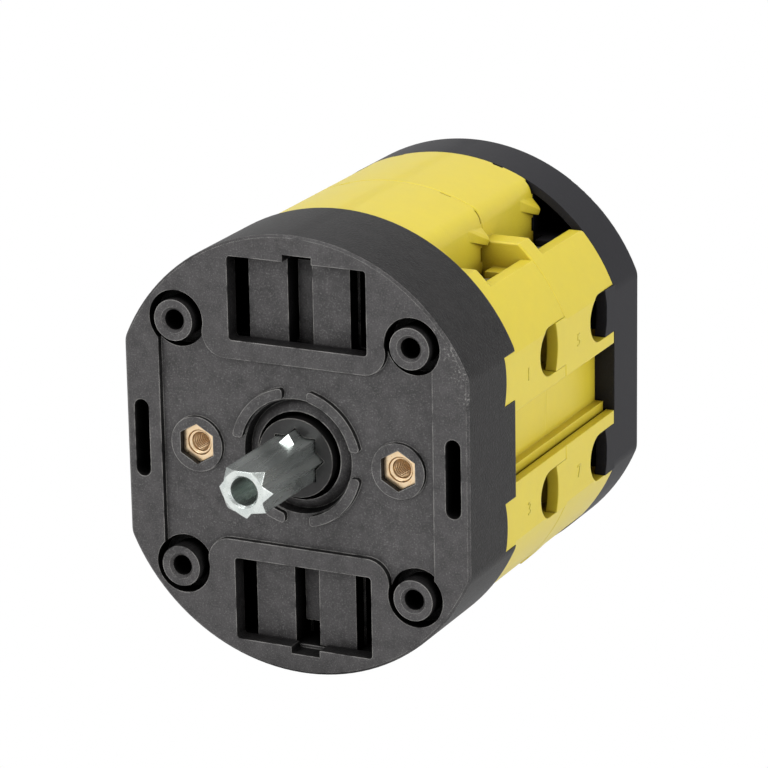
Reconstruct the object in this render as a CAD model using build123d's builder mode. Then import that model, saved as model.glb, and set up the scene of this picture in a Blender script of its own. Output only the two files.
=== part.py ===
from build123d import *
import os
from math import sqrt

# Two-deck rotary cam switch body for panel mounting, without its handle.
# X is right, Z is up and the front faces -Y. The origin is where the shaft axis
# meets the mounting plane of the front frame. All sizes are in millimetres.

# Body stack
body_radius = 31.7
half_width = 26.3
crown_rise = 17.4
corner_round = 3.0
frame_depth = 15.5
deck_pitch = 18.0
deck_count = 2
cover_depth = 9.5
deck_inset = 0.35
deck_side_inset = 0.1
cover_inset = 0.4
edge_chamfer = 0.35
seam_chamfer = 0.2

# Clearances
fit_gap = 0.05
loose_gap = 0.1
slide_gap = 0.2
moving_gap = 0.3

# Front face of the frame
face_recess = 0.9
recess_margin = 5.4
plateau_half_width = 14.0
plateau_lip = 2.7
plateau_round = 3.4
post_spacing = 36.0
post_diameter = 5.9
post_proud = 0.8
post_hole_diameter = 2.95
post_hole_mouth = 0.4
post_hole_depth = 11.0
post_pocket_diameter = 8.3
post_pocket_depth = 3.0
side_slot_margin = 2.4
side_slot_width = 2.3
side_slot_length = 11.3
side_slot_depth = 10.0
rib_inner_radius = 8.5
rib_outer_radius = 10.0
rib_gap = 3.8
rib_front = 0.1
rib_end_round = 0.5

# Windows over the index sliders
window_left = -9.85
window_right = 11.25
window_height = 12.0
window_rim = 3.8
window_corner = 0.5
window_notch_left = -1.3
window_notch_right = 3.1
window_notch_depth = 1.0
window_wall = 2.5

# Inserts and tie screws
insert_spacing = 31.0
insert_across_flats = 5.1
insert_bore = 2.5
insert_mouth = 3.7
insert_front = 1.2
insert_rear = 13.0
insert_end_diameter = 5.7
insert_thread_depth = 7.6
insert_boss_diameter = 8.0
insert_boss_front = 0.3
tie_shank_diameter = 2.9
tie_hole_diameter = 3.2
tie_thread_length = 2.8
tie_head_diameter = 5.5
tie_head_height = 3.0
tie_head_recess = 3.5
driver_slot_width = 0.9
driver_slot_depth = 1.0

# Shaft and what turns with it
star_side = 5.8
shaft_front = 15.6
shaft_bore_diameter = 4.0
shaft_bore_depth = 12.0
shaft_bore_mouth = 0.3
shaft_end_ring = 6.2
shaft_end_bevel = 1.0
ridge_start = 2.5
ridge_slope = 0.5
bearing_diameter = 5.6
bearing_length = 5.5
socket_gap = 0.2
hub_diameter = 11.4
hub_front = 0.1
hub_journal_diameter = 12.6
hub_journal_length = 0.9
hub_dish_mouth = 16.5
hub_dish_floor = 15.7
hub_dish_depth = 1.4
hub_dish_rise = 1.0
hub_wall_rear = 5.0
wheel_radius = 10.4
wheel_notch_depth = 1.3
wheel_notch_half = 1.9
wheel_boss_diameter = 10.4
clip_thickness = 0.8
clip_groove_depth = 0.5
clip_diameter = 9.0

# Index sliders and the channel they run in
channel_half_width = 11.5
channel_start = 13.0
channel_overlap = 0.5
slider_travel = 1.1
slider_body_half = 7.9
slider_body_start = 13.6
slider_ear_end = 15.4
slider_bar_depth = 2.4
left_bar = (-7.9, -1.9)
right_bar = (1.85, 7.55)
channel_slot = (-1.9, -1.5)
channel_slot_depth = 2.2
strip_opening = {"upper": 0.9, "lower": 2.3}
nose_half = 0.5
nose_root_half = 2.8
index_spring_x = 0.2
index_spring_y = 9.6
index_spring_radius = 1.15
index_spring_wire = 0.5
index_spring_pitch = 1.3
index_spring_inner = 16.5
head_plate_thickness = 2.5
relief_start = 5.3
relief_end = 12.5
relief_wall = 1.5
relief_margin = 4.4

# Deck housing
deck_wall = 3.5
dome_shoulder = 2.8
dome_wall = 2.0
chamber_radius_wall = 2.3
wall_drop = 7.7
plate_drop = 2.2
plate_wall = 1.3
plate_corner = 0.8
terminal_margin = 4.3
terminal_floor_gap = 0.2
mechanism_depth = 12.5
band_depth = 3.2
band_top = 5.3
band_bottom = -5.05
rib_depth = 1.9
rib_top = -3.86
rib_bottom = -5.4
groove_bottom = -6.3
groove_depth = 1.4
tab_depth = 1.8
tab_length = 3.5
tab_hollow = 0.7
tab_margin = 3.75
tab_half = 3.5
ledge_setback = 1.6
ledge_drop = 3.7
ledge_thickness = 1.8
ledge_length = 2.8
hood_start = 11.0
hood_end = 17.7
hood_profile_front = [(-1.6, -0.3), (-1.1, 0.2), (-0.6, -0.4), (-0.6, -2.3), (-1.5, -2.3)]
hood_profile_rear = [(-1.4, -0.5), (1.1, -3.3), (1.3, -3.8), (1.0, -4.6), (-1.3, -4.6)]
slit_length = 0.6
slit_left = 7.1
slit_right = 8.8
slit_depth = 0.8
corner_slit_width = 1.1
corner_slit_height = 1.6
side_slit_top = 1.1
side_slit_height = 2.1

# Contacts, one set in the upper and one in the lower half of each deck
cam_radius = 11.0
cam_wall_gap = 0.4
cam_thickness = 8.0
cam_hub_diameter = 10.3
contact_travel = 3.0
cam_follower_gap = 0.25
nose_radius = 1.3
nose_height = 1.25
stem_half = 4.6
stem_thickness = 6.0
guide_half = 1.5
guide_depth = 1.2
guide_start = 8.8
strip_drop = 17.1
strip_thickness = 1.2
strip_width = 5.0
strip_inner_gap = 6.0
strip_outer_gap = 0.6
button_gap = 4.1
button_diameter = 3.2
button_height = 0.7
closed_gap = 0.15
bridge_end_gap = 2.1
bridge_thickness = 1.2
bridge_width = 5.0
spigot_diameter = 2.8
spigot_height = 3.0
contact_spring_radius = 2.5
contact_spring_wire = 0.7
contact_spring_pitch = 1.6

# Terminals
clamp_inner_gap = 0.3
clamp_outer_gap = 1.7
clamp_width = 7.8
clamp_wall = 1.1
clamp_below_strip = 7.8
clamp_above_strip = 2.5
screw_shank_diameter = 3.4
screw_head_diameter = 5.0
screw_head_height = 2.0
screw_head_lift = 0.4

# Back cover
cover_pocket_depth = 7.0
cover_rim = 1.2
cover_relief_half = 9.8
cover_relief_start = 8.0
cover_relief_rim = 5.2
cover_relief_depth = 5.5
cover_round = 0.8

# Places that follow from the sizes above
stack_rear = frame_depth + deck_count * deck_pitch
cover_rear = stack_rear + cover_depth
insert_x = insert_spacing / 2
flat_half = body_radius - crown_rise
crown_radius = (half_width**2 + crown_rise**2) / (2 * crown_rise)
crown_centre = body_radius - crown_radius
window_outer = body_radius - window_rim
window_inner = window_outer - window_height
window_middle = (window_left + window_right) / 2
channel_end = window_outer + channel_overlap
plateau_start = window_inner - plateau_lip
side_slot_x = half_width - side_slot_margin
wall_top = body_radius - wall_drop
plate_top = wall_top - plate_drop
ledge_high = wall_top - ledge_drop
ledge_low = ledge_high - ledge_thickness
tab_z = flat_half - tab_margin
tab_inner_x = half_width - tab_depth
band_x = half_width - band_depth
terminal_outer = half_width - terminal_margin
strip_low = body_radius - strip_drop
strip_high = strip_low + strip_thickness
clamp_low = strip_low - clamp_below_strip
clamp_high = strip_low + clamp_above_strip
terminal_floor = clamp_low - terminal_floor_gap
bridge_low = strip_high + 2 * button_height + closed_gap + contact_travel
bridge_high = bridge_low + bridge_thickness
chamber_half = cam_radius + cam_wall_gap
dome_half = chamber_half + dome_wall
bridge_half = chamber_half - bridge_end_gap
button_x = chamber_half - button_gap
strip_inner = chamber_half - strip_inner_gap
strip_outer = terminal_outer - strip_outer_gap
clamp_length = terminal_outer - dome_half - clamp_inner_gap - clamp_outer_gap
terminal_x = dome_half + clamp_inner_gap + clamp_length / 2
ledge_left = dome_half + ledge_setback
chamber_radius = body_radius - deck_inset - chamber_radius_wall
contact_spring_end = chamber_radius - moving_gap
slider_front = window_wall + moving_gap
slider_body_front = slider_front + slider_bar_depth
slider_rear = frame_depth - head_plate_thickness - slide_gap
nose_tip = wheel_radius + moving_gap
wheel_front = hub_wall_rear + slide_gap
wheel_rear = slider_rear - loose_gap
clip_front = stack_rear - deck_pitch + mechanism_depth + cam_thickness / 2 + slide_gap
bearing_front = clip_front + clip_thickness + slide_gap
bearing_rear = stack_rear + bearing_length
HALVES = {"upper": 1, "lower": -1}
SIDES = {"left": -1, "right": 1}


def face_plane(depth):
    """Plane parallel to the front face, its outside towards the front."""
    return Plane(origin=(0, depth, 0), x_dir=(1, 0, 0), z_dir=(0, -1, 0))


def side_plane(x):
    """Plane square to X, with Y and Z as its own axes."""
    return Plane(origin=(x, 0, 0), x_dir=(0, 1, 0), z_dir=(1, 0, 0))


def level_plane(z):
    """Plane square to Z."""
    return Plane.XY.offset(z)


def deck_front(number):
    return frame_depth + (number - 1) * deck_pitch


def mechanism_y(number):
    return deck_front(number) + mechanism_depth


def crown_height(x, inset=0.0):
    """Height of the round top at x, or of a line at an even distance inside it."""
    return crown_centre + sqrt((crown_radius - inset) ** 2 - x**2)


def crown_reach(z, inset=0.0):
    """How far out the round top, or a line inside it, is at height z."""
    return sqrt((crown_radius - inset) ** 2 - (z - crown_centre) ** 2)


def body_section(depth, inset=0.0, side_inset=0.0):
    """Round top and bottom, and flat sides."""
    width = half_width - side_inset
    corner_z = crown_height(width, inset)
    with BuildSketch(face_plane(depth)) as section:
        with BuildLine():
            for side in HALVES.values():
                ThreePointArc(
                    (-width, side * corner_z),
                    (0, side * (body_radius - inset)),
                    (width, side * corner_z),
                )
            for across in SIDES.values():
                Line((across * width, -corner_z), (across * width, corner_z))
        make_face()
        fillet(section.vertices(), radius=corner_round)
    return section.sketch


def deck_section(depth):
    """Domed middle between two lower shoulders that end on the same round outline."""
    width = half_width - deck_side_inset
    dome_z = crown_height(dome_half, deck_inset)
    shoulder_x = crown_reach(wall_top, deck_inset)
    bend_x = (shoulder_x + width) / 2
    bend_z = crown_height(bend_x, deck_inset)
    corner_z = crown_height(width, deck_inset)
    with BuildSketch(face_plane(depth)) as section:
        with BuildLine():
            for side in HALVES.values():
                ThreePointArc(
                    (-dome_half, side * dome_z),
                    (0, side * (body_radius - deck_inset)),
                    (dome_half, side * dome_z),
                )
                for across in SIDES.values():
                    Polyline(
                        (across * dome_half, side * dome_z),
                        (across * dome_half, side * wall_top),
                        (across * shoulder_x, side * wall_top),
                    )
                    ThreePointArc(
                        (across * shoulder_x, side * wall_top),
                        (across * bend_x, side * bend_z),
                        (across * width, side * corner_z),
                    )
            for across in SIDES.values():
                Line((across * width, -corner_z), (across * width, corner_z))
        make_face()
        fillet(section.vertices().group_by(Axis.Y)[0], radius=dome_shoulder)
        fillet(section.vertices().group_by(Axis.Y)[-1], radius=dome_shoulder)
    return section.sketch


def star_section(depth, gap=0.0):
    """Two equal squares laid over each other at 45 degrees."""
    side = star_side + 2 * gap
    with BuildSketch(face_plane(depth)) as section:
        Rectangle(side, side)
        Rectangle(side, side, rotation=45)
    return section.sketch


def tab_section(front, side, gap=0.0):
    """Side tab of a deck: a rectangle with a hollow front edge."""
    low = side * tab_z - tab_half - gap
    high = side * tab_z + tab_half + gap
    tip = front - tab_length - gap
    with BuildSketch(side_plane(tab_inner_x - gap)) as section:
        with BuildLine():
            ThreePointArc((tip, low), (tip + tab_hollow, side * tab_z), (tip, high))
            root = front + seam_chamfer
            Polyline((tip, high), (root, high), (root, low), (tip, low))
        make_face()
    return section.sketch


def ledge_section(front, side, gap=0.0):
    """Inner tab of a deck, which locates it in the one before."""
    ledge_right = crown_reach(ledge_high, deck_inset + plate_wall) - slide_gap
    with BuildSketch(face_plane(front)) as section:
        with Locations(((ledge_left + ledge_right) / 2, side * (ledge_low + ledge_high) / 2)):
            Rectangle(ledge_right - ledge_left + 2 * gap, ledge_high - ledge_low + 2 * gap)
    return section.sketch


def box_from(x_range, y_range, z_range):
    """Box between two limits on each axis, made on its own."""
    return Pos(x_range[0], y_range[0], z_range[0]) * Box(
        x_range[1] - x_range[0],
        y_range[1] - y_range[0],
        z_range[1] - z_range[0],
        align=(Align.MIN, Align.MIN, Align.MIN),
        mode=Mode.PRIVATE,
    )


def signed(low, high, side):
    """The range low to high, on the upper side or mirrored to the lower side."""
    return (low, high) if side > 0 else (-high, -low)


def keep(builder, label):
    """Name a finished piece and write it."""
    builder.part.label = label
    export_step(builder.part, f"parts/{label}.step")


os.makedirs("parts", exist_ok=True)

# Front frame: the moulding that is screwed to the panel and holds the index mechanism
with BuildPart() as front_frame:
    extrude(body_section(0), amount=-frame_depth)
    chamfer(front_frame.edges().group_by(Axis.Y)[0], length=edge_chamfer)
    # Sunk middle of the face, round the window plateaus
    plateau_middle = (plateau_start + body_radius) / 2
    with BuildSketch(face_plane(0)):
        Rectangle(2 * (half_width - recess_margin), post_spacing)
        with Locations((0, plateau_middle), (0, -plateau_middle)):
            RectangleRounded(
                2 * plateau_half_width,
                body_radius - plateau_start,
                plateau_round,
                mode=Mode.SUBTRACT,
            )
    extrude(amount=-face_recess, mode=Mode.SUBTRACT)
    # Four ribs round the shaft and a ring round each insert
    with BuildSketch(face_plane(rib_front)):
        Circle(rib_outer_radius)
        Circle(rib_inner_radius, mode=Mode.SUBTRACT)
        Rectangle(rib_gap, 3 * rib_outer_radius, mode=Mode.SUBTRACT)
        Rectangle(3 * rib_outer_radius, rib_gap, mode=Mode.SUBTRACT)
        fillet(vertices(), radius=rib_end_round)
    extrude(amount=-face_recess)
    with BuildSketch(face_plane(insert_boss_front)):
        with Locations((-insert_x, 0), (insert_x, 0)):
            Circle(insert_boss_diameter / 2)
    extrude(amount=-face_recess)
    # Screw posts standing in round pockets
    with BuildSketch(face_plane(0)):
        with GridLocations(post_spacing, post_spacing, 2, 2):
            Circle(post_pocket_diameter / 2)
    extrude(amount=-post_pocket_depth, mode=Mode.SUBTRACT)
    with BuildSketch(face_plane(-post_proud)):
        with GridLocations(post_spacing, post_spacing, 2, 2):
            Circle(post_diameter / 2)
    extrude(amount=-post_proud - post_pocket_depth - face_recess)
    with BuildSketch(face_plane(-post_proud)):
        with GridLocations(post_spacing, post_spacing, 2, 2):
            Circle(post_hole_diameter / 2)
    extrude(amount=-post_proud - post_hole_depth, mode=Mode.SUBTRACT)
    post_ends = front_frame.edges().filter_by(GeomType.CIRCLE).group_by(Axis.Y)[0]
    chamfer(post_ends.group_by(SortBy.RADIUS)[0], length=post_hole_mouth)
    # Long slots near the flats
    with BuildSketch(face_plane(0)):
        with Locations((-side_slot_x, 0), (side_slot_x, 0)):
            SlotOverall(side_slot_length, side_slot_width, rotation=90)
    extrude(amount=-side_slot_depth, mode=Mode.SUBTRACT)
    # Windows, each with a notch in its outer edge
    notch_middle = (window_notch_left + window_notch_right) / 2
    notch_width = window_notch_right - window_notch_left
    for side in HALVES.values():
        with BuildSketch(face_plane(0)):
            with Locations((window_middle, side * (window_inner + window_outer) / 2)):
                RectangleRounded(window_right - window_left, window_height, window_corner)
            with Locations((notch_middle, side * window_outer)):
                Rectangle(notch_width, 2 * window_notch_depth)
        extrude(amount=-window_wall - moving_gap, mode=Mode.SUBTRACT)
    # Room for the index wheel, and the channels of the two sliders
    channel_x = (-channel_half_width, channel_half_width)
    add(
        box_from(channel_x, (hub_wall_rear, frame_depth), (-channel_start, channel_start)),
        mode=Mode.SUBTRACT,
    )
    for side in HALVES.values():
        add(
            box_from(channel_x, (window_wall, frame_depth), signed(channel_start, channel_end, side)),
            mode=Mode.SUBTRACT,
        )
    # Bore of the shaft hub, in a dish whose floor rises to the bore
    dish_floor_y = face_recess + hub_dish_depth
    dish_rim_y = dish_floor_y - hub_dish_rise
    with BuildSketch(Plane.XY):
        with BuildLine():
            Polyline(
                (0, 0),
                (hub_dish_mouth / 2, 0),
                (hub_dish_mouth / 2, face_recess),
                (hub_dish_floor / 2, dish_floor_y),
                (hub_journal_diameter / 2 + fit_gap, dish_rim_y),
                (hub_journal_diameter / 2 + fit_gap, hub_wall_rear),
                (0, hub_wall_rear),
                (0, 0),
            )
        make_face()
    revolve(axis=Axis.Y, mode=Mode.SUBTRACT)
    # Seats of the inserts and holes for the tie screws
    with BuildSketch(face_plane(0)):
        with Locations((-insert_x, 0), (insert_x, 0)):
            RegularPolygon(insert_across_flats / 2, 6, major_radius=False, rotation=30)
    extrude(amount=-insert_rear, mode=Mode.SUBTRACT)
    with BuildSketch(face_plane(0)):
        with Locations((-insert_x, 0), (insert_x, 0)):
            Circle(tie_hole_diameter / 2)
    extrude(amount=-frame_depth, mode=Mode.SUBTRACT)
    # Hollows behind the face, and seats for the tabs of the first deck
    relief_inner = channel_half_width + relief_wall
    for side in HALVES.values():
        for across in SIDES.values():
            add(
                box_from(
                    signed(relief_inner, half_width - relief_margin, across),
                    (hub_wall_rear, frame_depth),
                    signed(relief_start, relief_end, side),
                ),
                mode=Mode.SUBTRACT,
            )
        tab = extrude(tab_section(frame_depth, side, fit_gap), amount=half_width, mode=Mode.PRIVATE)
        add(tab, mode=Mode.SUBTRACT)
        add(tab.mirror(Plane.YZ), mode=Mode.SUBTRACT)
        ledge = extrude(
            ledge_section(frame_depth, side, fit_gap),
            amount=ledge_length + fit_gap,
            mode=Mode.PRIVATE,
        )
        add(ledge, mode=Mode.SUBTRACT)
        add(ledge.mirror(Plane.YZ), mode=Mode.SUBTRACT)
keep(front_frame, "front_frame")

# Brass inserts: hexagonal bushes with a blind thread from each end
for name, across in SIDES.items():
    with BuildPart() as insert:
        with BuildSketch(face_plane(insert_front)):
            with Locations((across * insert_x, 0)):
                RegularPolygon(
                    insert_across_flats / 2 - fit_gap / 2, 6, major_radius=False, rotation=30
                )
        extrude(amount=insert_front - insert_rear)
        # The corners are turned off at the front
        end_x = across * insert_x + insert_end_diameter / 2
        with BuildSketch(Plane.XY):
            with BuildLine():
                Polyline(
                    (end_x, insert_front),
                    (end_x + insert_across_flats / 2, insert_front),
                    (end_x + insert_across_flats / 2, insert_front + insert_across_flats / 2),
                    (end_x, insert_front),
                )
            make_face()
        revolve(axis=Axis((across * insert_x, 0, 0), (0, 1, 0)), mode=Mode.SUBTRACT)
        with BuildSketch(face_plane(insert_front)):
            with Locations((across * insert_x, 0)):
                Circle(insert_bore / 2)
        extrude(amount=-insert_thread_depth, mode=Mode.SUBTRACT)
        with BuildSketch(face_plane(insert_rear)):
            with Locations((across * insert_x, 0)):
                Circle(insert_bore / 2)
        extrude(amount=tie_thread_length + loose_gap, mode=Mode.SUBTRACT)
        rims = insert.edges().filter_by(GeomType.CIRCLE).group_by(Axis.Y)[0]
        chamfer(rims.sort_by(SortBy.RADIUS)[0], length=(insert_mouth - insert_bore) / 2)
    keep(insert, f"insert_{name}")

# Head plate: closes the frame behind the sliders and carries the rear of the index wheel
with BuildPart() as head_plate:
    with BuildSketch(face_plane(frame_depth - head_plate_thickness)):
        Rectangle(2 * (channel_half_width - loose_gap), 2 * (channel_end - loose_gap))
        Circle(wheel_boss_diameter / 2 + fit_gap, mode=Mode.SUBTRACT)
    extrude(amount=-head_plate_thickness)
keep(head_plate, "head_plate")

# Shaft: steel bar of star section with a bore for the handle screw and a round rear end
with BuildPart() as shaft:
    extrude(star_section(-shaft_front), amount=-(shaft_front + bearing_front))
    with BuildSketch(face_plane(bearing_front)):
        Circle(bearing_diameter / 2)
    extrude(amount=bearing_front - bearing_rear)
    # The top ridge is milled off in front of the hub, and ends in a slope
    with BuildSketch(side_plane(-star_side)):
        with BuildLine():
            Polyline(
                (-shaft_front, star_side / 2),
                (-ridge_start, star_side / 2),
                (-ridge_start + ridge_slope * star_side / 2, star_side),
                (-shaft_front, star_side),
                (-shaft_front, star_side / 2),
            )
        make_face()
    extrude(amount=2 * star_side, mode=Mode.SUBTRACT)
    # The points are bevelled at the end, down to a round ring
    with BuildSketch(Plane.XY):
        with BuildLine():
            Polyline(
                (shaft_end_ring / 2, -shaft_front),
                (star_side, -shaft_front),
                (star_side, -shaft_front + (star_side - shaft_end_ring / 2) * shaft_end_bevel),
                (shaft_end_ring / 2, -shaft_front),
            )
        make_face()
    revolve(axis=Axis.Y, mode=Mode.SUBTRACT)
    # Threaded bore with a small countersink
    with BuildSketch(face_plane(-shaft_front)):
        Circle(shaft_bore_diameter / 2)
    extrude(amount=-shaft_bore_depth - shaft_bore_mouth, mode=Mode.SUBTRACT)
    chamfer(
        shaft.edges().filter_by(GeomType.CIRCLE).group_by(Axis.Y)[0].sort_by(SortBy.RADIUS)[0],
        length=shaft_bore_mouth,
    )
    # Groove of the retaining clip
    with BuildSketch(face_plane(clip_front - fit_gap)):
        Circle(star_side)
        Circle(star_side / 2 - clip_groove_depth, mode=Mode.SUBTRACT)
    extrude(amount=-clip_thickness - 2 * fit_gap, mode=Mode.SUBTRACT)
keep(shaft, "shaft")

# Shaft hub: round bush with a star socket, turning in the bore of the frame
with BuildPart() as shaft_hub:
    with BuildSketch(face_plane(hub_front)):
        Circle(hub_diameter / 2)
    extrude(amount=hub_front - hub_wall_rear)
    with BuildSketch(face_plane(hub_wall_rear - hub_journal_length)):
        Circle(hub_journal_diameter / 2)
    extrude(amount=-hub_journal_length)
    extrude(star_section(hub_front, socket_gap), amount=-frame_depth, mode=Mode.SUBTRACT)
keep(shaft_hub, "shaft_hub")

# Index wheel: four notches, one for each quarter turn
with BuildPart() as index_wheel:
    with BuildSketch(face_plane(wheel_front)):
        Circle(wheel_radius)
        with PolarLocations(wheel_radius, 4):
            with Locations((0, 0)):
                Rectangle(
                    2 * wheel_notch_depth, 2 * wheel_notch_half, mode=Mode.SUBTRACT
                )
    extrude(amount=wheel_front - wheel_rear)
    with BuildSketch(face_plane(wheel_rear)):
        Circle(wheel_boss_diameter / 2)
    extrude(amount=wheel_rear - frame_depth + fit_gap)
    extrude(star_section(wheel_front, fit_gap), amount=-frame_depth, mode=Mode.SUBTRACT)
keep(index_wheel, "index_wheel")


def index_slider(side, opening):
    """Sprung plunger: two bars in the window, and a nose for the wheel's notches."""
    body_y = (slider_body_front, slider_rear)
    bar_end = channel_end - slide_gap
    with BuildPart() as slider:
        body_x = (-slider_body_half, slider_body_half)
        add(box_from(body_x, body_y, signed(slider_body_start, bar_end, side)))
        ear = channel_half_width - slide_gap
        add(box_from((-ear, ear), body_y, signed(slider_body_start, slider_ear_end, side)))
        bar_start = channel_start + slider_travel + moving_gap
        for bar in (left_bar, right_bar):
            add(box_from(bar, (slider_front, slider_body_front), signed(bar_start, bar_end, side)))
        # Narrow channel beside the left bar, and the open end of the strip between the bars
        channel_y = (slider_body_front, slider_body_front + channel_slot_depth)
        add(
            box_from(channel_slot, channel_y, signed(slider_ear_end, bar_end, side)),
            mode=Mode.SUBTRACT,
        )
        add(
            box_from(
                (channel_slot[1], right_bar[0]),
                (slider_body_front, index_spring_y),
                signed(window_outer - opening, bar_end, side),
            ),
            mode=Mode.SUBTRACT,
        )
        # Nose
        with BuildSketch(face_plane(slider_body_front + loose_gap)):
            with BuildLine():
                Polyline(
                    (-nose_half, side * nose_tip),
                    (nose_half, side * nose_tip),
                    (nose_root_half, side * (nose_tip + nose_root_half - nose_half)),
                    (nose_root_half, side * slider_body_start),
                    (-nose_root_half, side * slider_body_start),
                    (-nose_root_half, side * (nose_tip + nose_root_half - nose_half)),
                    (-nose_half, side * nose_tip),
                )
            make_face()
        extrude(amount=slider_body_front + 2 * loose_gap - slider_rear)
        # Blind hole for the spring
        with BuildSketch(level_plane(side * index_spring_inner)):
            with Locations((index_spring_x, index_spring_y)):
                Circle(index_spring_radius + index_spring_wire / 2 + slide_gap)
        extrude(amount=side * channel_end, mode=Mode.SUBTRACT)
    return slider


def coil_spring(place, radius, wire, pitch, side, inner, outer):
    """Compression spring along Z between two heights, at place in X and Y."""
    low = inner + wire / 2 + fit_gap
    high = outer - wire / 2 - fit_gap
    with BuildPart() as spring:
        with BuildLine() as path:
            Helix(
                pitch=pitch,
                height=high - low,
                radius=radius,
                center=(place[0], place[1], side * low),
                direction=(0, 0, side),
            )
        with BuildSketch(Plane(origin=path.line @ 0, z_dir=path.line % 0)):
            Circle(wire / 2)
        sweep(is_frenet=True)
    return spring


# Index sliders and their springs, above and below the wheel
for half, side in HALVES.items():
    keep(index_slider(side, strip_opening[half]), f"index_slider_{half}")
    keep(
        coil_spring(
            (index_spring_x, index_spring_y),
            index_spring_radius,
            index_spring_wire,
            index_spring_pitch,
            side,
            index_spring_inner,
            channel_end,
        ),
        f"index_spring_{half}",
    )


def deck_housing(number, rounded_end):
    """Yellow moulding of one deck; the next piece of the stack closes its rear."""
    front = deck_front(number)
    rear = front + deck_pitch
    inside = front + deck_wall
    middle = mechanism_y(number)
    outside = body_radius + 1
    with BuildPart() as housing:
        extrude(deck_section(front), amount=-deck_pitch)
        ends = housing.edges().group_by(Axis.Y)
        chamfer(ends[0] + ends[-1], length=seam_chamfer)
        split(bisect_by=Plane.YZ, keep=Keep.TOP)
        for side in HALVES.values():
            # Terminal chamber, open to the outside above the screw
            chamber_height = outside - terminal_floor
            with BuildSketch(face_plane(inside)):
                with Locations(
                    ((dome_half + terminal_outer) / 2, side * (terminal_floor + chamber_height / 2))
                ):
                    Rectangle(terminal_outer - dome_half, chamber_height)
                with Locations((0, side * crown_centre)):
                    Circle(crown_radius - deck_inset - plate_wall, mode=Mode.INTERSECT)
            extrude(amount=inside - rear, mode=Mode.SUBTRACT)
            # Top edge of the side plate
            with BuildSketch(side_plane(dome_half)):
                with Locations(((inside + rear) / 2, side * (plate_top + outside) / 2)):
                    Rectangle(rear - inside, outside - plate_top)
                if rounded_end:
                    with Locations((rear - plate_corner / 2, side * (plate_top - plate_corner / 2))):
                        Rectangle(plate_corner, plate_corner)
                    with Locations((rear - plate_corner, side * (plate_top - plate_corner))):
                        Circle(plate_corner, mode=Mode.SUBTRACT)
            extrude(amount=half_width, mode=Mode.SUBTRACT)
            # Wire entry: a slot with a round front end, open to the rear
            with BuildSketch(side_plane(terminal_outer - loose_gap)):
                with Locations((middle, side * tab_z)):
                    Circle(tab_half + fit_gap)
                with Locations(((middle + rear) / 2, side * tab_z)):
                    Rectangle(rear - middle, 2 * (tab_half + fit_gap))
            extrude(amount=half_width, mode=Mode.SUBTRACT)
            # Slot for the contact strip through the wall of the dome
            strip_front = middle - strip_width / 2 - fit_gap
            add(
                box_from(
                    (chamber_half - dome_wall, dome_half + fit_gap),
                    (strip_front, rear),
                    signed(strip_low - fit_gap, strip_high + fit_gap, side),
                ),
                mode=Mode.SUBTRACT,
            )
            # Guide groove of the plunger
            add(
                box_from(
                    (0, guide_half),
                    (inside - guide_depth, inside),
                    signed(guide_start, contact_spring_end, side),
                ),
                mode=Mode.SUBTRACT,
            )
            # Tabs that enter the piece in front
            extrude(tab_section(front, side), amount=half_width - deck_side_inset - tab_inner_x)
            extrude(ledge_section(front, side), amount=ledge_length)
            # Hood that flares from a point on the shoulder of the dome
            dome_z = crown_height(dome_half, deck_inset)
            hood_sections = []
            for start, profile in ((hood_start, hood_profile_front), (hood_end, hood_profile_rear)):
                with BuildSketch(face_plane(front + start)) as hood_sketch:
                    Polygon(*[(dome_half + x, side * (dome_z + z)) for x, z in profile], align=None)
                hood_sections.append(hood_sketch.sketch)
            loft(hood_sections)
            # Slits at the rear edge: in the dome, at its shoulder and in its side
            slit_low = crown_height(slit_left, deck_inset) - slit_depth
            side_slit_high = wall_top - side_slit_top
            for slit_x, slit_z in (
                ((slit_left, slit_right), (slit_low, outside)),
                ((dome_half - corner_slit_width, half_width), (dome_z - corner_slit_height, outside)),
                (
                    (dome_half - slit_depth, dome_half + slit_depth),
                    (side_slit_high - side_slit_height, side_slit_high),
                ),
            ):
                add(
                    box_from(slit_x, (rear - slit_length, rear), signed(*slit_z, side)),
                    mode=Mode.SUBTRACT,
                )
        # Room for the cam and the contacts, right through from top to bottom
        chamber_z = sqrt(chamber_radius**2 - chamber_half**2)
        with BuildSketch(face_plane(inside)):
            with BuildLine():
                Line((0, -chamber_radius), (0, chamber_radius))
                RadiusArc((0, chamber_radius), (chamber_half, chamber_z), chamber_radius)
                Line((chamber_half, chamber_z), (chamber_half, -chamber_z))
                RadiusArc((chamber_half, -chamber_z), (0, -chamber_radius), chamber_radius)
            make_face()
        extrude(amount=inside - rear, mode=Mode.SUBTRACT)
        # Sunk band along the flat, with a rib above a groove
        band_y = (front, rear)
        add(
            box_from((band_x, half_width), band_y, (band_bottom, band_top)),
            mode=Mode.SUBTRACT,
        )
        add(
            box_from((band_x, half_width - groove_depth), band_y, (groove_bottom, band_bottom)),
            mode=Mode.SUBTRACT,
        )
        add(box_from((band_x, half_width - rib_depth), band_y, (rib_bottom, rib_top)))
        # Hole for the tie screw
        with BuildSketch(face_plane(front)):
            with Locations((insert_x, 0)):
                Circle(tie_hole_diameter / 2)
        extrude(amount=-deck_pitch, mode=Mode.SUBTRACT)
        mirror(about=Plane.YZ)
        # Bearing of the cam
        with BuildSketch(face_plane(front)):
            Circle(cam_hub_diameter / 2 + fit_gap)
        extrude(amount=-deck_wall, mode=Mode.SUBTRACT)
    return housing


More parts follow.
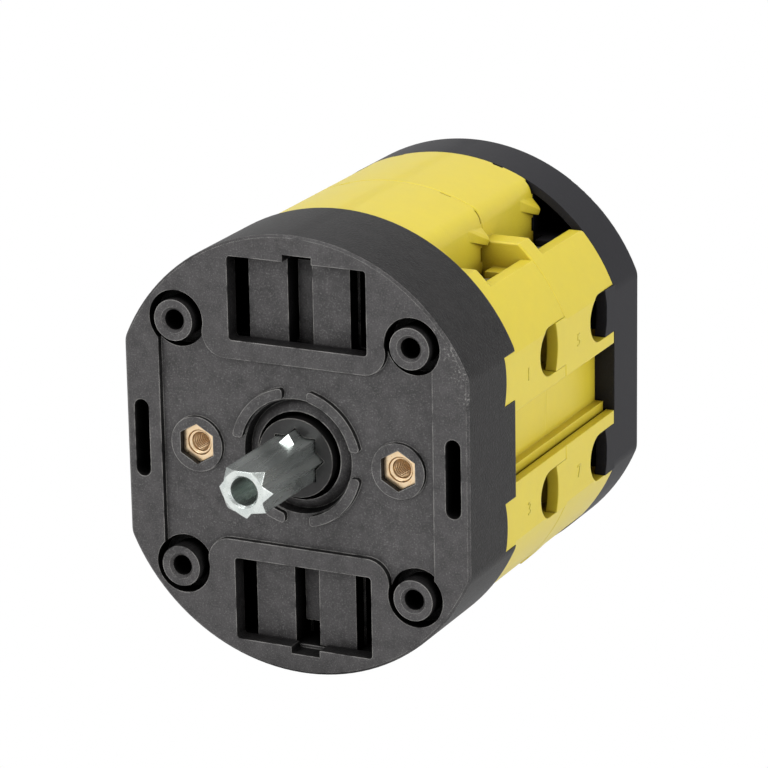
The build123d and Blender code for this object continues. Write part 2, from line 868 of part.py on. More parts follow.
def deck_cam(number):
    """Cam with two lobes, whose radius changes evenly with the angle."""
    middle = mechanism_y(number)
    steps = 6
    with BuildPart() as cam:
        with BuildSketch(face_plane(middle - cam_thickness / 2)):
            with BuildLine():
                for quarter in range(4):
                    turns = [quarter + step / steps for step in range(steps + 1)]
                    points = []
                    for turn in turns:
                        share = turn - quarter
                        drop = share if quarter % 2 == 0 else 1 - share
                        radius = cam_radius - contact_travel * drop
                        direction = Vector(0, 1).rotate(Axis.Z, 90 * turn)
                        points.append(direction * radius)
                    Spline(*points)
            make_face()
        extrude(amount=-cam_thickness)
        with BuildSketch(face_plane(deck_front(number) + loose_gap)):
            Circle(cam_hub_diameter / 2)
        extrude(amount=deck_front(number) + loose_gap - middle)
        extrude(star_section(deck_front(number), fit_gap), amount=-deck_pitch, mode=Mode.SUBTRACT)
    return cam


def plunger(number, side):
    """Follower that lifts the bridge off the fixed contacts."""
    middle = mechanism_y(number)
    tip = cam_radius + cam_follower_gap
    stem_y = (middle - stem_thickness / 2, middle + stem_thickness / 2)
    stem_low = tip + nose_height
    guide_front = deck_front(number) + deck_wall - guide_depth + loose_gap
    with BuildPart() as piece:
        add(box_from((-stem_half, stem_half), stem_y, signed(stem_low, bridge_low, side)))
        with BuildSketch(face_plane(stem_y[0])):
            with Locations((0, side * (tip + nose_radius))):
                Circle(nose_radius)
            with Locations((0, side * (tip + nose_radius + nose_height))):
                Rectangle(2 * nose_radius, 2 * nose_height)
        extrude(amount=-stem_thickness)
        guide = guide_half - loose_gap
        add(box_from((-guide, guide), (guide_front, middle), signed(stem_low, bridge_low, side)))
        with BuildSketch(level_plane(side * bridge_low)):
            with Locations((0, middle)):
                Circle(spigot_diameter / 2)
        extrude(amount=side * spigot_height)
    return piece


def bridge(number, side):
    """Moving contact: a bar with a button at each end."""
    middle = mechanism_y(number)
    with BuildPart() as piece:
        with BuildSketch(level_plane(side * bridge_low)):
            with Locations((0, middle)):
                Rectangle(2 * bridge_half, bridge_width)
                Circle(spigot_diameter / 2 + fit_gap, mode=Mode.SUBTRACT)
        extrude(amount=side * bridge_thickness)
        with BuildSketch(level_plane(side * bridge_low)):
            with Locations((-button_x, middle), (button_x, middle)):
                Circle(button_diameter / 2)
        extrude(amount=-side * button_height)
    return piece


def fixed_contact(number, side, across):
    """Strip that runs from under the bridge, through the wall, to its terminal."""
    middle = mechanism_y(number)
    with BuildPart() as piece:
        with BuildSketch(level_plane(side * strip_low)):
            with Locations((across * (strip_inner + strip_outer) / 2, middle)):
                Rectangle(strip_outer - strip_inner, strip_width)
        extrude(amount=side * strip_thickness)
        with BuildSketch(level_plane(side * strip_high)):
            with Locations((across * button_x, middle)):
                Circle(button_diameter / 2)
        extrude(amount=side * button_height)
    return piece


def clamp(number, side, across):
    """Terminal cage: a short square tube round the end of the strip."""
    middle = mechanism_y(number)
    half_length = clamp_length / 2
    half_clamp = clamp_width / 2
    with BuildPart() as piece:
        x_range = signed(terminal_x - half_length, terminal_x + half_length, across)
        add(
            box_from(
                x_range,
                (middle - half_clamp, middle + half_clamp),
                signed(clamp_low, clamp_high, side),
            )
        )
        add(
            box_from(
                x_range,
                (middle - half_clamp + clamp_wall, middle + half_clamp - clamp_wall),
                signed(clamp_low + clamp_wall, clamp_high - clamp_wall, side),
            ),
            mode=Mode.SUBTRACT,
        )
        with BuildSketch(level_plane(side * (clamp_high - clamp_wall))):
            with Locations((across * terminal_x, middle)):
                Circle(screw_shank_diameter / 2 + fit_gap)
        extrude(amount=side * clamp_wall, mode=Mode.SUBTRACT)
    return piece


# The decks, each with a cam, two plungers, two bridges and four terminals
for number in range(1, deck_count + 1):
    keep(deck_housing(number, rounded_end=number == deck_count), f"deck_{number}_housing")
    keep(deck_cam(number), f"deck_{number}_cam")
    middle = mechanism_y(number)
    for half, side in HALVES.items():
        keep(plunger(number, side), f"deck_{number}_plunger_{half}")
        keep(bridge(number, side), f"deck_{number}_bridge_{half}")
        keep(
            coil_spring(
                (0, middle),
                contact_spring_radius,
                contact_spring_wire,
                contact_spring_pitch,
                side,
                bridge_high,
                contact_spring_end,
            ),
            f"deck_{number}_spring_{half}",
        )
        for name, across in SIDES.items():
            keep(fixed_contact(number, side, across), f"deck_{number}_contact_{half}_{name}")
            keep(clamp(number, side, across), f"deck_{number}_clamp_{half}_{name}")
    # Terminal screws, one in each clamp
    with BuildPart() as terminal_screws:
        for side in HALVES.values():
            places = [(-terminal_x, middle), (terminal_x, middle)]
            head_low = clamp_high + screw_head_lift
            head_high = head_low + screw_head_height
            with BuildSketch(level_plane(side * (strip_high + fit_gap))):
                with Locations(*places):
                    Circle(screw_shank_diameter / 2)
            extrude(amount=side * (head_low - strip_high))
            with BuildSketch(level_plane(side * head_low)):
                with Locations(*places):
                    Circle(screw_head_diameter / 2)
            extrude(amount=side * screw_head_height)
            with BuildSketch(level_plane(side * head_high)):
                with Locations(*places):
                    Rectangle(screw_head_diameter * 0.8, driver_slot_width)
                    Rectangle(driver_slot_width, screw_head_diameter * 0.8)
            extrude(amount=-side * driver_slot_depth, mode=Mode.SUBTRACT)
    keep(terminal_screws, f"deck_{number}_terminal_screws")

# Back cover: closes the last deck and carries the rear of the shaft
with BuildPart() as back_cover:
    extrude(body_section(stack_rear, cover_inset, deck_side_inset), amount=-cover_depth)
    fillet(back_cover.edges().group_by(Axis.Y)[-1], radius=cover_round)
    for side in HALVES.values():
        # Hollows behind the open shoulders of the last deck
        hollow_height = body_radius - ledge_high
        with BuildSketch(face_plane(stack_rear)) as hollow:
            with Locations(
                ((dome_half + half_width) / 2, side * (ledge_high + hollow_height / 2))
            ):
                Rectangle(half_width - dome_half, hollow_height)
            with Locations((0, side * crown_centre)):
                Circle(crown_radius - cover_inset - cover_rim, mode=Mode.INTERSECT)
        pocket = extrude(hollow.sketch, amount=-cover_pocket_depth, mode=Mode.PRIVATE)
        add(pocket, mode=Mode.SUBTRACT)
        add(pocket.mirror(Plane.YZ), mode=Mode.SUBTRACT)
        add(
            box_from(
                (-cover_relief_half, cover_relief_half),
                (stack_rear, stack_rear + cover_relief_depth),
                signed(cover_relief_start, body_radius - cover_relief_rim, side),
            ),
            mode=Mode.SUBTRACT,
        )
        cover_width = half_width - deck_side_inset
        tab = extrude(tab_section(stack_rear, side), amount=cover_width - tab_inner_x, mode=Mode.PRIVATE)
        add(tab)
        add(tab.mirror(Plane.YZ))
        ledge = extrude(ledge_section(stack_rear, side), amount=ledge_length, mode=Mode.PRIVATE)
        add(ledge)
        add(ledge.mirror(Plane.YZ))
    # Bearing of the shaft
    with BuildSketch(face_plane(stack_rear)):
        Circle(bearing_diameter / 2 + fit_gap)
    extrude(amount=-bearing_length - slide_gap, mode=Mode.SUBTRACT)
    # Tie screw holes, with seats for the heads in the rear face
    with BuildSketch(face_plane(stack_rear)):
        with Locations((-insert_x, 0), (insert_x, 0)):
            Circle(tie_hole_diameter / 2)
    extrude(amount=-cover_depth, mode=Mode.SUBTRACT)
    with BuildSketch(face_plane(cover_rear)):
        with Locations((-insert_x, 0), (insert_x, 0)):
            Circle(tie_head_diameter / 2 + slide_gap)
    extrude(amount=tie_head_recess, mode=Mode.SUBTRACT)
keep(back_cover, "back_cover")

# Tie screws: from the cover through the decks into the rear of the inserts
with BuildPart() as tie_screws:
    ties = [(-insert_x, 0), (insert_x, 0)]
    head_front = cover_rear - tie_head_recess
    with BuildSketch(face_plane(head_front)):
        with Locations(*ties):
            Circle(tie_head_diameter / 2)
    extrude(amount=-tie_head_height)
    with BuildSketch(face_plane(insert_rear + fit_gap)):
        with Locations(*ties):
            Circle(tie_shank_diameter / 2)
    extrude(amount=insert_rear + fit_gap - head_front)
    with BuildSketch(face_plane(insert_rear - tie_thread_length)):
        with Locations(*ties):
            Circle(insert_bore / 2 - fit_gap / 2)
    extrude(amount=-tie_thread_length - fit_gap)
    with BuildSketch(face_plane(head_front + tie_head_height)):
        with Locations(*ties):
            Rectangle(tie_head_diameter * 0.75, driver_slot_width)
            Rectangle(driver_slot_width, tie_head_diameter * 0.75)
    extrude(amount=driver_slot_depth, mode=Mode.SUBTRACT)
keep(tie_screws, "tie_screws")

# Retaining clip: open ring in the groove of the shaft, behind the last cam
with BuildPart() as shaft_clip:
    with BuildSketch(face_plane(clip_front)):
        Circle(clip_diameter / 2)
        Circle(star_side / 2 - clip_groove_depth + fit_gap, mode=Mode.SUBTRACT)
        with Locations((0, -clip_diameter / 2)):
            Rectangle(star_side - 4 * clip_groove_depth, clip_diameter, mode=Mode.SUBTRACT)
    extrude(amount=-clip_thickness)
keep(shaft_clip, "shaft_clip")
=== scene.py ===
import math

import bmesh
import bpy
from mathutils import Matrix, Vector


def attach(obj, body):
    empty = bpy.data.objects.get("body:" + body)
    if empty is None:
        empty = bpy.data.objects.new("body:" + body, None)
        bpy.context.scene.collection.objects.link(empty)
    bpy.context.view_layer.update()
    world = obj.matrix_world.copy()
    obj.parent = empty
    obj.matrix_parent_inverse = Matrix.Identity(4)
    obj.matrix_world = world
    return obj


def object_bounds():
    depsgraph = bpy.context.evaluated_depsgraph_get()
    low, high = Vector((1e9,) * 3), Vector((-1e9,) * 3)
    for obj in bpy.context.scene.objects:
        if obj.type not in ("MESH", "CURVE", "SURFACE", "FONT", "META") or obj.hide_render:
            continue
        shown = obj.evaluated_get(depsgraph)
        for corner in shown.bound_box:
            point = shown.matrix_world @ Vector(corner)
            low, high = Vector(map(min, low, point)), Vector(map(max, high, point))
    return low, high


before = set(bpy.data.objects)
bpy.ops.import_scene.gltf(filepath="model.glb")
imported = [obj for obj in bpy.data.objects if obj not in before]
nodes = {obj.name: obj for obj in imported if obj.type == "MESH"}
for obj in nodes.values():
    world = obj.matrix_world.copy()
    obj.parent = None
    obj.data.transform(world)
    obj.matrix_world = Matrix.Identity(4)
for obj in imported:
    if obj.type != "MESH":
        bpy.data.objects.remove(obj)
cad_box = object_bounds()

# Camera: a long lens to the right of the shaft and a little above it, as the
# photograph was taken. Its place is given from the mounting plane on the shaft axis.
MM = 0.001
camera_azimuth = math.radians(25.83)
camera_elevation = math.radians(17.37)
camera_roll = math.radians(-0.99)
camera_distance = 550.02 * MM
camera_right = 12.223 * MM
camera_up = 10.228 * MM
photo_width = 768
focal_pixels = 3998.3
level_right = Vector((math.cos(camera_azimuth), math.sin(camera_azimuth), 0))
camera_back = Vector(
    (
        math.sin(camera_azimuth) * math.cos(camera_elevation),
        -math.cos(camera_azimuth) * math.cos(camera_elevation),
        math.sin(camera_elevation),
    )
)
level_up = camera_back.cross(level_right)
right = level_right * math.cos(camera_roll) + level_up * math.sin(camera_roll)
up = level_up * math.cos(camera_roll) - level_right * math.sin(camera_roll)
camera_data = bpy.data.cameras.new("camera")
camera_data.lens = focal_pixels / photo_width * camera_data.sensor_width
camera_data.clip_start = 0.01
camera = bpy.data.objects.new("camera", camera_data)
bpy.context.scene.collection.objects.link(camera)
turn = Matrix((right, up, camera_back)).transposed().to_4x4()
place = camera_back * camera_distance + right * camera_right + up * camera_up
camera.matrix_world = Matrix.Translation(place) @ turn
bpy.context.scene.camera = camera
bpy.context.scene.view_settings.view_transform = "Standard"

# Studio: a white floor that curves up behind the switch, seen by the camera and by
# the metal as plain white, with large soft lamps above, in front and to the right.
floor_gap = 0.2 * MM
floor_height = cad_box[0][2] - floor_gap
floor_half_side = 1.5
wall_height = 2.0
studio = bmesh.new()
bmesh.ops.create_grid(studio, x_segments=1, y_segments=1, size=floor_half_side)
bmesh.ops.translate(studio, verts=studio.verts, vec=(0, 0, floor_height))
far_edge = [e for e in studio.edges if all(v.co.y > 0 for v in e.verts)]
wall = bmesh.ops.extrude_edge_only(studio, edges=far_edge)
wall_corners = [v for v in wall["geom"] if isinstance(v, bmesh.types.BMVert)]
bmesh.ops.translate(studio, verts=wall_corners, vec=(0, 0, wall_height))
bmesh.ops.recalc_face_normals(studio, faces=studio.faces)
studio_mesh = bpy.data.meshes.new("studio_floor")
studio.to_mesh(studio_mesh)
studio.free()
studio_floor = bpy.data.objects.new("studio_floor", studio_mesh)
bpy.context.scene.collection.objects.link(studio_floor)


def plain_white_backdrop():
    """White to the camera and in reflections, a pale matt floor to the light."""
    material = bpy.data.materials.new("white_backdrop")
    material.use_nodes = True
    tree = material.node_tree
    surface = tree.nodes["Principled BSDF"]
    surface.inputs["Base Color"].default_value = (0.8, 0.8, 0.8, 1)
    surface.inputs["Roughness"].default_value = 1.0
    surface.inputs["Specular IOR Level"].default_value = 0.0
    glow = tree.nodes.new("ShaderNodeEmission")
    glow.inputs["Color"].default_value = (1, 1, 1, 1)
    rays = tree.nodes.new("ShaderNodeLightPath")
    seen = tree.nodes.new("ShaderNodeMath")
    seen.operation = "MAXIMUM"
    mirrored = tree.nodes.new("ShaderNodeMath")
    mirrored.operation = "MAXIMUM"
    mix = tree.nodes.new("ShaderNodeMixShader")
    links = tree.links
    links.new(rays.outputs["Is Camera Ray"], seen.inputs[0])
    links.new(rays.outputs["Is Glossy Ray"], seen.inputs[1])
    links.new(seen.outputs[0], mirrored.inputs[0])
    links.new(rays.outputs["Is Transmission Ray"], mirrored.inputs[1])
    links.new(mirrored.outputs[0], mix.inputs[0])
    links.new(surface.outputs[0], mix.inputs[1])
    links.new(glow.outputs[0], mix.inputs[2])
    links.new(mix.outputs[0], tree.nodes["Material Output"].inputs[0])
    return material


studio_mesh.materials.append(plain_white_backdrop())
world = bpy.data.worlds.new("studio_world")
bpy.context.scene.world = world
world.use_nodes = True
sky = world.node_tree.nodes["Background"]
sky.inputs["Color"].default_value = (1, 1, 1, 1)
sky.inputs["Strength"].default_value = 0.40
lamp_target = Vector((0, 0.02, 0))
for name, place, size, watts in (
    ("lamp_above", (-0.12, 0.02, 0.55), 0.45, 2.0),
    ("lamp_front", (-0.20, -0.60, 0.35), 0.35, 2.0),
    ("lamp_right", (0.60, -0.10, 0.22), 0.45, 2.2),
):
    lamp_data = bpy.data.lights.new(name, "AREA")
    lamp_data.size = size
    lamp_data.energy = watts
    lamp = bpy.data.objects.new(name, lamp_data)
    lamp.matrix_world = Matrix.Translation(place) @ (
        (lamp_target - Vector(place)).to_track_quat("-Z", "Y").to_matrix().to_4x4()
    )
    bpy.context.scene.collection.objects.link(lamp)

# Front frame, head plate and index sliders: glass-filled black nylon with a fine
# spark-eroded grain. Its edges are rubbed pale from handling, with a scuff on the
# right edge of the face, and short glass fibres show as light specks.
shader_samples = 6


def noise_texture(tree, vector, scale, detail, roughness=0.5):
    """A noise texture over the given coordinates; its scale is in cells per metre."""
    noise = tree.nodes.new("ShaderNodeTexNoise")
    noise.inputs["Scale"].default_value = scale
    noise.inputs["Detail"].default_value = detail
    noise.inputs["Roughness"].default_value = roughness
    tree.links.new(vector, noise.inputs["Vector"])
    return noise


def colour_ramp(tree, low, high, low_colour=(0, 0, 0), high_colour=(1, 1, 1)):
    """A ramp from one colour to the other between two positions."""
    ramp = tree.nodes.new("ShaderNodeValToRGB")
    ramp.color_ramp.elements[0].position = low
    ramp.color_ramp.elements[1].position = high
    ramp.color_ramp.elements[0].color = (*low_colour, 1)
    ramp.color_ramp.elements[1].color = (*high_colour, 1)
    return ramp


def moulded_plastic(
    name,
    colour,
    speck,
    edge_wear_and_highlight,
    grain,
    roughness,
    gloss,
    edge_wear_and_highlight_width,
    specks,
    edge_wear_and_highlight_cover,
    depth,
    cloud,
    painted_wall_shade,
    scuffs=(),
):
    """Grained plastic: cloudy base colour, pale fibre specks, edges painted paler for wear and as a
    highlight, painted shade in hollows and on walls.
    """
    cloud_scale = 420.0
    fibre_scale = 4200.0
    edge_patch_scale = 420.0
    scuff_scale = 3300.0
    scuff_strength = 0.62
    hollow_reach = 9.0 * MM
    grain_scale = 3200.0
    grain_depth = 0.06 * MM
    roughness_spread = 0.06
    material = bpy.data.materials.new(name)
    material.use_nodes = True
    tree = material.node_tree
    links = tree.links
    surface = tree.nodes["Principled BSDF"]
    place = tree.nodes.new("ShaderNodeTexCoord")
    clouds = noise_texture(tree, place.outputs["Object"], cloud_scale, 8.0, 0.75)
    darker = [c * (1 - cloud) for c in colour]
    lighter = [min(1.0, c * (1 + cloud)) for c in colour]
    cloud_ramp = colour_ramp(tree, 0.3, 0.75, darker, lighter)
    links.new(clouds.outputs["Fac"], cloud_ramp.inputs["Fac"])
    # Specks of fibre in the skin of the moulding
    fibres = noise_texture(tree, place.outputs["Object"], fibre_scale, 4.0, 0.7)
    fibre_ramp = colour_ramp(tree, 0.52, 0.80, high_colour=(specks, specks, specks))
    links.new(fibres.outputs["Fac"], fibre_ramp.inputs["Fac"])
    speckled = tree.nodes.new("ShaderNodeMix")
    speckled.data_type = "RGBA"
    links.new(fibre_ramp.outputs["Color"], speckled.inputs["Factor"])
    links.new(cloud_ramp.outputs["Color"], speckled.inputs["A"])
    speckled.inputs["B"].default_value = (*speck, 1)
    # Paler edges, where the rounded normal turns away from the flat one: rubbed wear on the frame's
    # nylon, a painted highlight on the yellow nylon and the hub rim
    rounded = tree.nodes.new("ShaderNodeBevel")
    rounded.samples = shader_samples
    rounded.inputs["Radius"].default_value = edge_wear_and_highlight_width
    flat = tree.nodes.new("ShaderNodeNewGeometry")
    agree = tree.nodes.new("ShaderNodeVectorMath")
    agree.operation = "DOT_PRODUCT"
    links.new(rounded.outputs["Normal"], agree.inputs[0])
    links.new(flat.outputs["Normal"], agree.inputs[1])
    edge_ramp = colour_ramp(tree, 0.80, 0.97, (1, 1, 1), (0, 0, 0))
    links.new(agree.outputs["Value"], edge_ramp.inputs["Fac"])
    edge_patch_noise = noise_texture(tree, place.outputs["Object"], edge_patch_scale, 4.0)
    edge_patch_ramp = colour_ramp(tree, 0.62 - edge_wear_and_highlight_cover, 0.82 - edge_wear_and_highlight_cover)
    links.new(edge_patch_noise.outputs["Fac"], edge_patch_ramp.inputs["Fac"])
    edge_wear_and_highlight_mask = tree.nodes.new("ShaderNodeMath")
    edge_wear_and_highlight_mask.operation = "MULTIPLY"
    links.new(edge_ramp.outputs["Color"], edge_wear_and_highlight_mask.inputs[0])
    links.new(edge_patch_ramp.outputs["Color"], edge_wear_and_highlight_mask.inputs[1])
    # Scuffs: rough pale scratches round each point, thinning out with distance
    wear_and_highlight_marks = edge_wear_and_highlight_mask
    for spot, reach in scuffs:
        away = tree.nodes.new("ShaderNodeVectorMath")
        away.operation = "DISTANCE"
        links.new(place.outputs["Object"], away.inputs[0])
        away.inputs[1].default_value = [c * MM for c in spot]
        near = tree.nodes.new("ShaderNodeMapRange")
        near.inputs["From Max"].default_value = reach * MM
        near.inputs["To Min"].default_value = scuff_strength
        near.inputs["To Max"].default_value = 0.0
        links.new(away.outputs["Value"], near.inputs["Value"])
        scratches = noise_texture(tree, place.outputs["Object"], scuff_scale, 3.0)
        sparse = tree.nodes.new("ShaderNodeMapRange")
        sparse.inputs["From Min"].default_value = 0.54
        sparse.inputs["From Max"].default_value = 0.66
        links.new(scratches.outputs["Fac"], sparse.inputs["Value"])
        patch = tree.nodes.new("ShaderNodeMath")
        patch.operation = "MULTIPLY_ADD"
        patch.use_clamp = True
        links.new(near.outputs["Result"], patch.inputs[0])
        links.new(sparse.outputs["Result"], patch.inputs[1])
        links.new(wear_and_highlight_marks.outputs[0], patch.inputs[2])
        wear_and_highlight_marks = patch
    finished = tree.nodes.new("ShaderNodeMix")
    finished.data_type = "RGBA"
    links.new(wear_and_highlight_marks.outputs[0], finished.inputs["Factor"])
    links.new(speckled.outputs["Result"], finished.inputs["A"])
    finished.inputs["B"].default_value = (*edge_wear_and_highlight, 1)
    # Painted shade in hollows, where little light comes back: ambient occlusion darkens the colour
    # there, down to the depth colour
    openness = tree.nodes.new("ShaderNodeAmbientOcclusion")
    openness.samples = shader_samples
    openness.inputs["Distance"].default_value = hollow_reach
    painted_hollow_shade = colour_ramp(tree, 0.15, 0.6, low_colour=depth)
    links.new(openness.outputs["AO"], painted_hollow_shade.inputs["Fac"])
    shaded = tree.nodes.new("ShaderNodeMix")
    shaded.data_type = "RGBA"
    shaded.blend_type = "MULTIPLY"
    shaded.inputs["Factor"].default_value = 1.0
    links.new(finished.outputs["Result"], shaded.inputs["A"])
    links.new(painted_hollow_shade.outputs["Color"], shaded.inputs["B"])
    # Painted shade on walls that run with the shaft: colour and gloss are scaled down as the normal
    # turns across the shaft axis
    facing = tree.nodes.new("ShaderNodeSeparateXYZ")
    links.new(place.outputs["Normal"], facing.inputs[0])
    turned = tree.nodes.new("ShaderNodeMath")
    turned.operation = "ABSOLUTE"
    links.new(facing.outputs["Y"], turned.inputs[0])
    wall_shade_ramp = tree.nodes.new("ShaderNodeMapRange")
    wall_shade_ramp.inputs["To Min"].default_value = painted_wall_shade
    wall_shade_ramp.inputs["To Max"].default_value = 1.0
    links.new(turned.outputs[0], wall_shade_ramp.inputs["Value"])
    toned = tree.nodes.new("ShaderNodeVectorMath")
    toned.operation = "SCALE"
    links.new(shaded.outputs["Result"], toned.inputs["Vector"])
    links.new(wall_shade_ramp.outputs["Result"], toned.inputs["Scale"])
    links.new(toned.outputs["Vector"], surface.inputs["Base Color"])
    # Painted shade on the gloss as well: the specular level falls in hollows and on walls along the
    # shaft
    dimmed = tree.nodes.new("ShaderNodeMath")
    dimmed.operation = "MULTIPLY"
    dimmed.inputs[1].default_value = gloss
    links.new(painted_hollow_shade.outputs["Color"], dimmed.inputs[0])
    sheen = tree.nodes.new("ShaderNodeMath")
    sheen.operation = "MULTIPLY"
    links.new(dimmed.outputs[0], sheen.inputs[0])
    links.new(wall_shade_ramp.outputs["Result"], sheen.inputs[1])
    links.new(sheen.outputs[0], surface.inputs["Specular IOR Level"])
    # Grain of the mould's surface
    pits = noise_texture(tree, place.outputs["Object"], grain_scale, 3.0)
    bump = tree.nodes.new("ShaderNodeBump")
    bump.inputs["Strength"].default_value = grain
    bump.inputs["Distance"].default_value = grain_depth
    links.new(pits.outputs["Fac"], bump.inputs["Height"])
    links.new(rounded.outputs["Normal"], bump.inputs["Normal"])
    links.new(bump.outputs["Normal"], surface.inputs["Normal"])
    rough_ramp = tree.nodes.new("ShaderNodeMapRange")
    rough_ramp.inputs["To Min"].default_value = roughness - roughness_spread
    rough_ramp.inputs["To Max"].default_value = roughness + roughness_spread
    links.new(clouds.outputs["Fac"], rough_ramp.inputs["Value"])
    links.new(rough_ramp.outputs["Result"], surface.inputs["Roughness"])
    return material


def finish_nodes(names, material):
    """Give CAD nodes their material."""
    for name in names:
        nodes[name].data.materials.clear()
        nodes[name].data.materials.append(material)


black_nylon = moulded_plastic(
    "black_nylon",
    colour=(0.057, 0.054, 0.055),
    speck=(0.28, 0.275, 0.27),
    edge_wear_and_highlight=(0.42, 0.41, 0.39),
    grain=1.2,
    roughness=0.5,
    gloss=0.42,
    edge_wear_and_highlight_width=0.30 * MM,
    specks=0.62,
    edge_wear_and_highlight_cover=0.27,
    # Painted shade: near black in hollows, and walls along the shaft at under a third of the face's
    # tone
    depth=(0.02, 0.02, 0.02),
    cloud=0.5,
    painted_wall_shade=0.30,
    scuffs=(
        ((25.3, 0, 15.0), 2.2),
        ((23.6, 0, 17.8), 1.8),
        ((21.5, 0, 20.5), 1.6),
        ((26.0, 0, 11.5), 1.6),
    ),
)
finish_nodes(["front_frame", "index_slider_upper", "index_slider_lower", "head_plate"], black_nylon)

# Shaft hub: a smoother black bush, darker than the frame round it, with its rims painted paler as a
# painted highlight.
hub_plastic = moulded_plastic(
    "hub_plastic",
    colour=(0.020, 0.019, 0.019),
    speck=(0.10, 0.10, 0.10),
    edge_wear_and_highlight=(0.30, 0.29, 0.27),
    grain=0.3,
    roughness=0.34,
    gloss=0.35,
    edge_wear_and_highlight_width=0.3 * MM,
    specks=0.2,
    edge_wear_and_highlight_cover=0.26,
    depth=(0.04, 0.04, 0.04),
    cloud=0.3,
    painted_wall_shade=0.8,
)
finish_nodes(["shaft_hub"], hub_plastic)

# Back cover: the same nylon as the frame from a smoother mould, darker and with
# fewer specks, since nothing rubs against it.
cover_nylon = moulded_plastic(
    "cover_nylon",
    colour=(0.018, 0.0175, 0.021),
    speck=(0.08, 0.08, 0.085),
    edge_wear_and_highlight=(0.14, 0.14, 0.15),
    grain=0.3,
    roughness=0.5,
    gloss=0.12,
    edge_wear_and_highlight_width=0.2 * MM,
    specks=0.2,
    edge_wear_and_highlight_cover=0.1,
    depth=(0.05, 0.05, 0.05),
    cloud=0.15,
    painted_wall_shade=0.9,
)
finish_nodes(["back_cover"], cover_nylon)

# Deck housings: yellow nylon from a fine-grained mould. Light sinks a little way in, which makes
# thin edges glow stronger than the flats; the edges are also painted a brighter yellow as a painted
# highlight, and the hollows a brown painted shade.
yellow_nylon = moulded_plastic(
    "yellow_nylon",
    colour=(0.65, 0.525, 0.040),
    speck=(0.70, 0.58, 0.07),
    edge_wear_and_highlight=(0.78, 0.66, 0.09),
    grain=0.2,
    roughness=0.42,
    gloss=0.4,
    edge_wear_and_highlight_width=0.26 * MM,
    specks=0.15,
    edge_wear_and_highlight_cover=0.24,
    depth=(0.34, 0.26, 0.14),
    cloud=0.03,
    painted_wall_shade=1.0,
)
yellow_surface = yellow_nylon.node_tree.nodes["Principled BSDF"]
yellow_surface.inputs["Subsurface Weight"].default_value = 0.25
yellow_surface.inputs["Subsurface Radius"].default_value = (1.0, 0.75, 0.15)
yellow_surface.inputs["Subsurface Scale"].default_value = 0.6 * MM
finish_nodes(["deck_1_housing", "deck_2_housing"], yellow_nylon)

# Terminal numbers: plain digits raised a few hundredths of a millimetre on the flats
# beside the wire entries, moulded with each deck, so they are the same yellow nylon.


def raised_number(digit, across, depth, height):
    """One digit on the left (-1) or right (1) flat, read from that side."""
    digit_size = 2.7 * MM
    relief = 0.04 * MM
    flat_x = 26.21 * MM
    curve = bpy.data.curves.new("number_curve", "FONT")
    curve.body = digit
    curve.size = digit_size
    curve.extrude = relief
    curve.resolution_u = 5
    curve.align_x = "CENTER"
    curve.align_y = "CENTER"
    text = bpy.data.objects.new("number_curve", curve)
    bpy.context.scene.collection.objects.link(text)
    shape = text.evaluated_get(bpy.context.evaluated_depsgraph_get())
    mesh = bpy.data.meshes.new_from_object(shape)
    bpy.data.objects.remove(text)
    bpy.data.curves.remove(curve)
    facing = Matrix(((0, across, 0), (0, 0, 1), (across, 0, 0))).transposed().to_4x4()
    mesh.transform(Matrix.Translation((across * flat_x, depth, height)) @ facing)
    mesh.name = f"terminal_number_{digit}"
    mesh.materials.clear()
    mesh.materials.append(yellow_nylon)
    piece = bpy.data.objects.new(f"terminal_number_{digit}", mesh)
    bpy.context.scene.collection.objects.link(piece)
    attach(piece, "stator")


for digit, across, depth, height in (
    ("1", 1, 20.4, 9.3),
    ("2", -1, 20.4, 9.3),
    ("3", 1, 20.4, -10.4),
    ("4", -1, 20.4, -10.4),
    ("5", 1, 38.2, 9.3),
    ("6", -1, 38.2, 9.3),
    ("7", 1, 38.2, -10.4),
    ("8", -1, 38.2, -10.4),
):
    raised_number(digit, across, depth * MM, height * MM)

# Plungers, cams and the index wheel: natural glass-filled plastic, seen only in
# slits between the mouldings.
inner_nylon = moulded_plastic(
    "inner_nylon",
    colour=(0.40, 0.38, 0.33),
    speck=(0.48, 0.46, 0.40),
    edge_wear_and_highlight=(0.5, 0.48, 0.43),
    grain=0.2,
    roughness=0.5,
    gloss=0.4,
    edge_wear_and_highlight_width=0.15 * MM,
    specks=0.2,
    edge_wear_and_highlight_cover=0.1,
    depth=(0.3, 0.3, 0.3),
    cloud=0.05,
    painted_wall_shade=1.0,
)
inner_names = [n for n in nodes if "_plunger_" in n or n.endswith("_cam")] + ["index_wheel"]
finish_nodes(inner_names, inner_nylon)

# Metal pieces: turned brass inserts, zinc-plated steel shaft, screws and clamps,
# stamped brass contacts and bright spring wire.


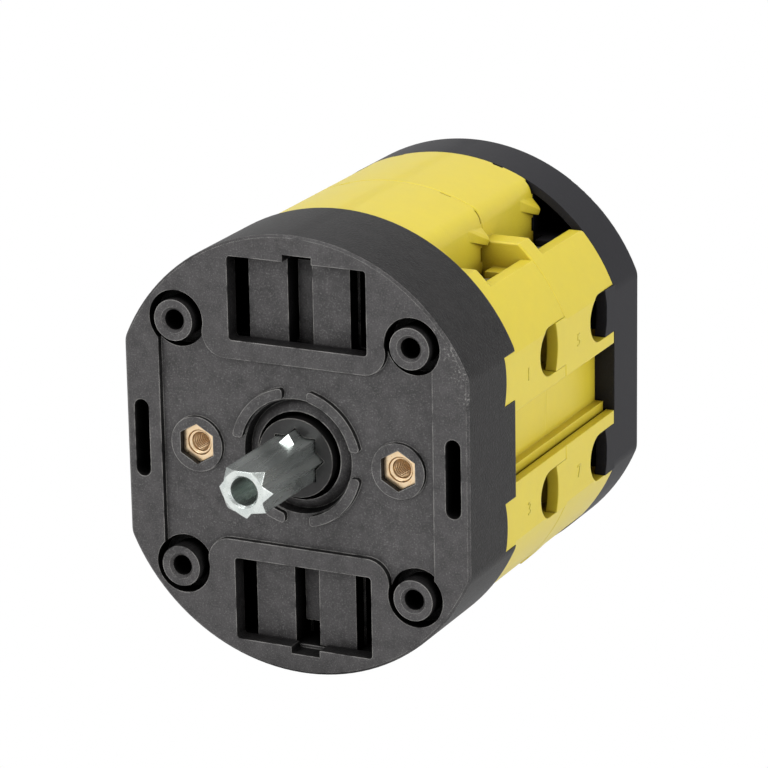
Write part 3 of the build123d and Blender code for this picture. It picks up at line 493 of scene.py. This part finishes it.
def worked_metal(name, colour, shade, roughness, scratch, stretch, scale, pitch=0.0):
    """Metal with fine tool marks drawn out along one direction, and thread if it has a pitch."""
    edge_radius = 0.12 * MM
    mark_depth = 0.03 * MM
    roughness_spread = 0.08
    thread_depth = 0.25 * pitch
    material = bpy.data.materials.new(name)
    material.use_nodes = True
    tree = material.node_tree
    links = tree.links
    surface = tree.nodes["Principled BSDF"]
    surface.inputs["Metallic"].default_value = 1.0
    place = tree.nodes.new("ShaderNodeTexCoord")
    along = tree.nodes.new("ShaderNodeMapping")
    along.inputs["Scale"].default_value = stretch
    links.new(place.outputs["Object"], along.inputs["Vector"])
    marks = noise_texture(tree, along.outputs["Vector"], scale, 6.0)
    tone = colour_ramp(tree, 0.3, 0.7, shade, colour)
    links.new(marks.outputs["Fac"], tone.inputs["Fac"])
    links.new(tone.outputs["Color"], surface.inputs["Base Color"])
    rough = tree.nodes.new("ShaderNodeMapRange")
    rough.inputs["To Min"].default_value = roughness - roughness_spread
    rough.inputs["To Max"].default_value = roughness + roughness_spread
    links.new(marks.outputs["Fac"], rough.inputs["Value"])
    links.new(rough.outputs["Result"], surface.inputs["Roughness"])
    rounded = tree.nodes.new("ShaderNodeBevel")
    rounded.samples = shader_samples
    rounded.inputs["Radius"].default_value = edge_radius
    bump = tree.nodes.new("ShaderNodeBump")
    bump.inputs["Strength"].default_value = scratch
    bump.inputs["Distance"].default_value = mark_depth
    links.new(marks.outputs["Fac"], bump.inputs["Height"])
    links.new(rounded.outputs["Normal"], bump.inputs["Normal"])
    links.new(bump.outputs["Normal"], surface.inputs["Normal"])
    if pitch:
        # Crests and roots of a screw thread, seen on walls that run along the axis
        split = tree.nodes.new("ShaderNodeSeparateXYZ")
        links.new(place.outputs["Object"], split.inputs[0])
        turns = tree.nodes.new("ShaderNodeMath")
        turns.operation = "MULTIPLY"
        turns.inputs[1].default_value = 2 * math.pi / pitch
        links.new(split.outputs["Y"], turns.inputs[0])
        crest = tree.nodes.new("ShaderNodeMath")
        crest.operation = "SINE"
        links.new(turns.outputs[0], crest.inputs[0])
        thread = tree.nodes.new("ShaderNodeBump")
        thread.inputs["Strength"].default_value = 1.0
        thread.inputs["Distance"].default_value = thread_depth
        links.new(crest.outputs[0], thread.inputs["Height"])
        links.new(bump.outputs["Normal"], thread.inputs["Normal"])
        links.new(thread.outputs["Normal"], surface.inputs["Normal"])
    return material


turned_brass = worked_metal(
    "turned_brass", (0.96, 0.76, 0.52), (0.88, 0.64, 0.38), 0.3, 0.2, (1, 1, 1), 1500.0, 0.5 * MM
)
finish_nodes(["insert_left", "insert_right"], turned_brass)
zinc_plate = worked_metal(
    "zinc_plate", (0.80, 0.84, 0.81), (0.62, 0.67, 0.65), 0.27, 0.22, (1, 0.12, 1), 900.0
)
# The clear passivation on the zinc adds a little pale colour of its own
zinc_surface = zinc_plate.node_tree.nodes["Principled BSDF"]
zinc_surface.inputs["Metallic"].default_value = 0.92
screw_names = ["shaft", "tie_screws", "deck_1_terminal_screws", "deck_2_terminal_screws"]
finish_nodes(screw_names + [n for n in nodes if "_clamp_" in n], zinc_plate)
stamped_brass = worked_metal(
    "stamped_brass", (0.80, 0.58, 0.32), (0.66, 0.46, 0.24), 0.36, 0.2, (0.2, 1, 1), 800.0
)
finish_nodes([n for n in nodes if "_contact_" in n or "_bridge_" in n], stamped_brass)
spring_wire = worked_metal(
    "spring_wire", (0.56, 0.55, 0.53), (0.40, 0.39, 0.38), 0.3, 0.2, (1, 1, 1), 1200.0
)
finish_nodes([n for n in nodes if "spring" in n] + ["shaft_clip"], spring_wire)
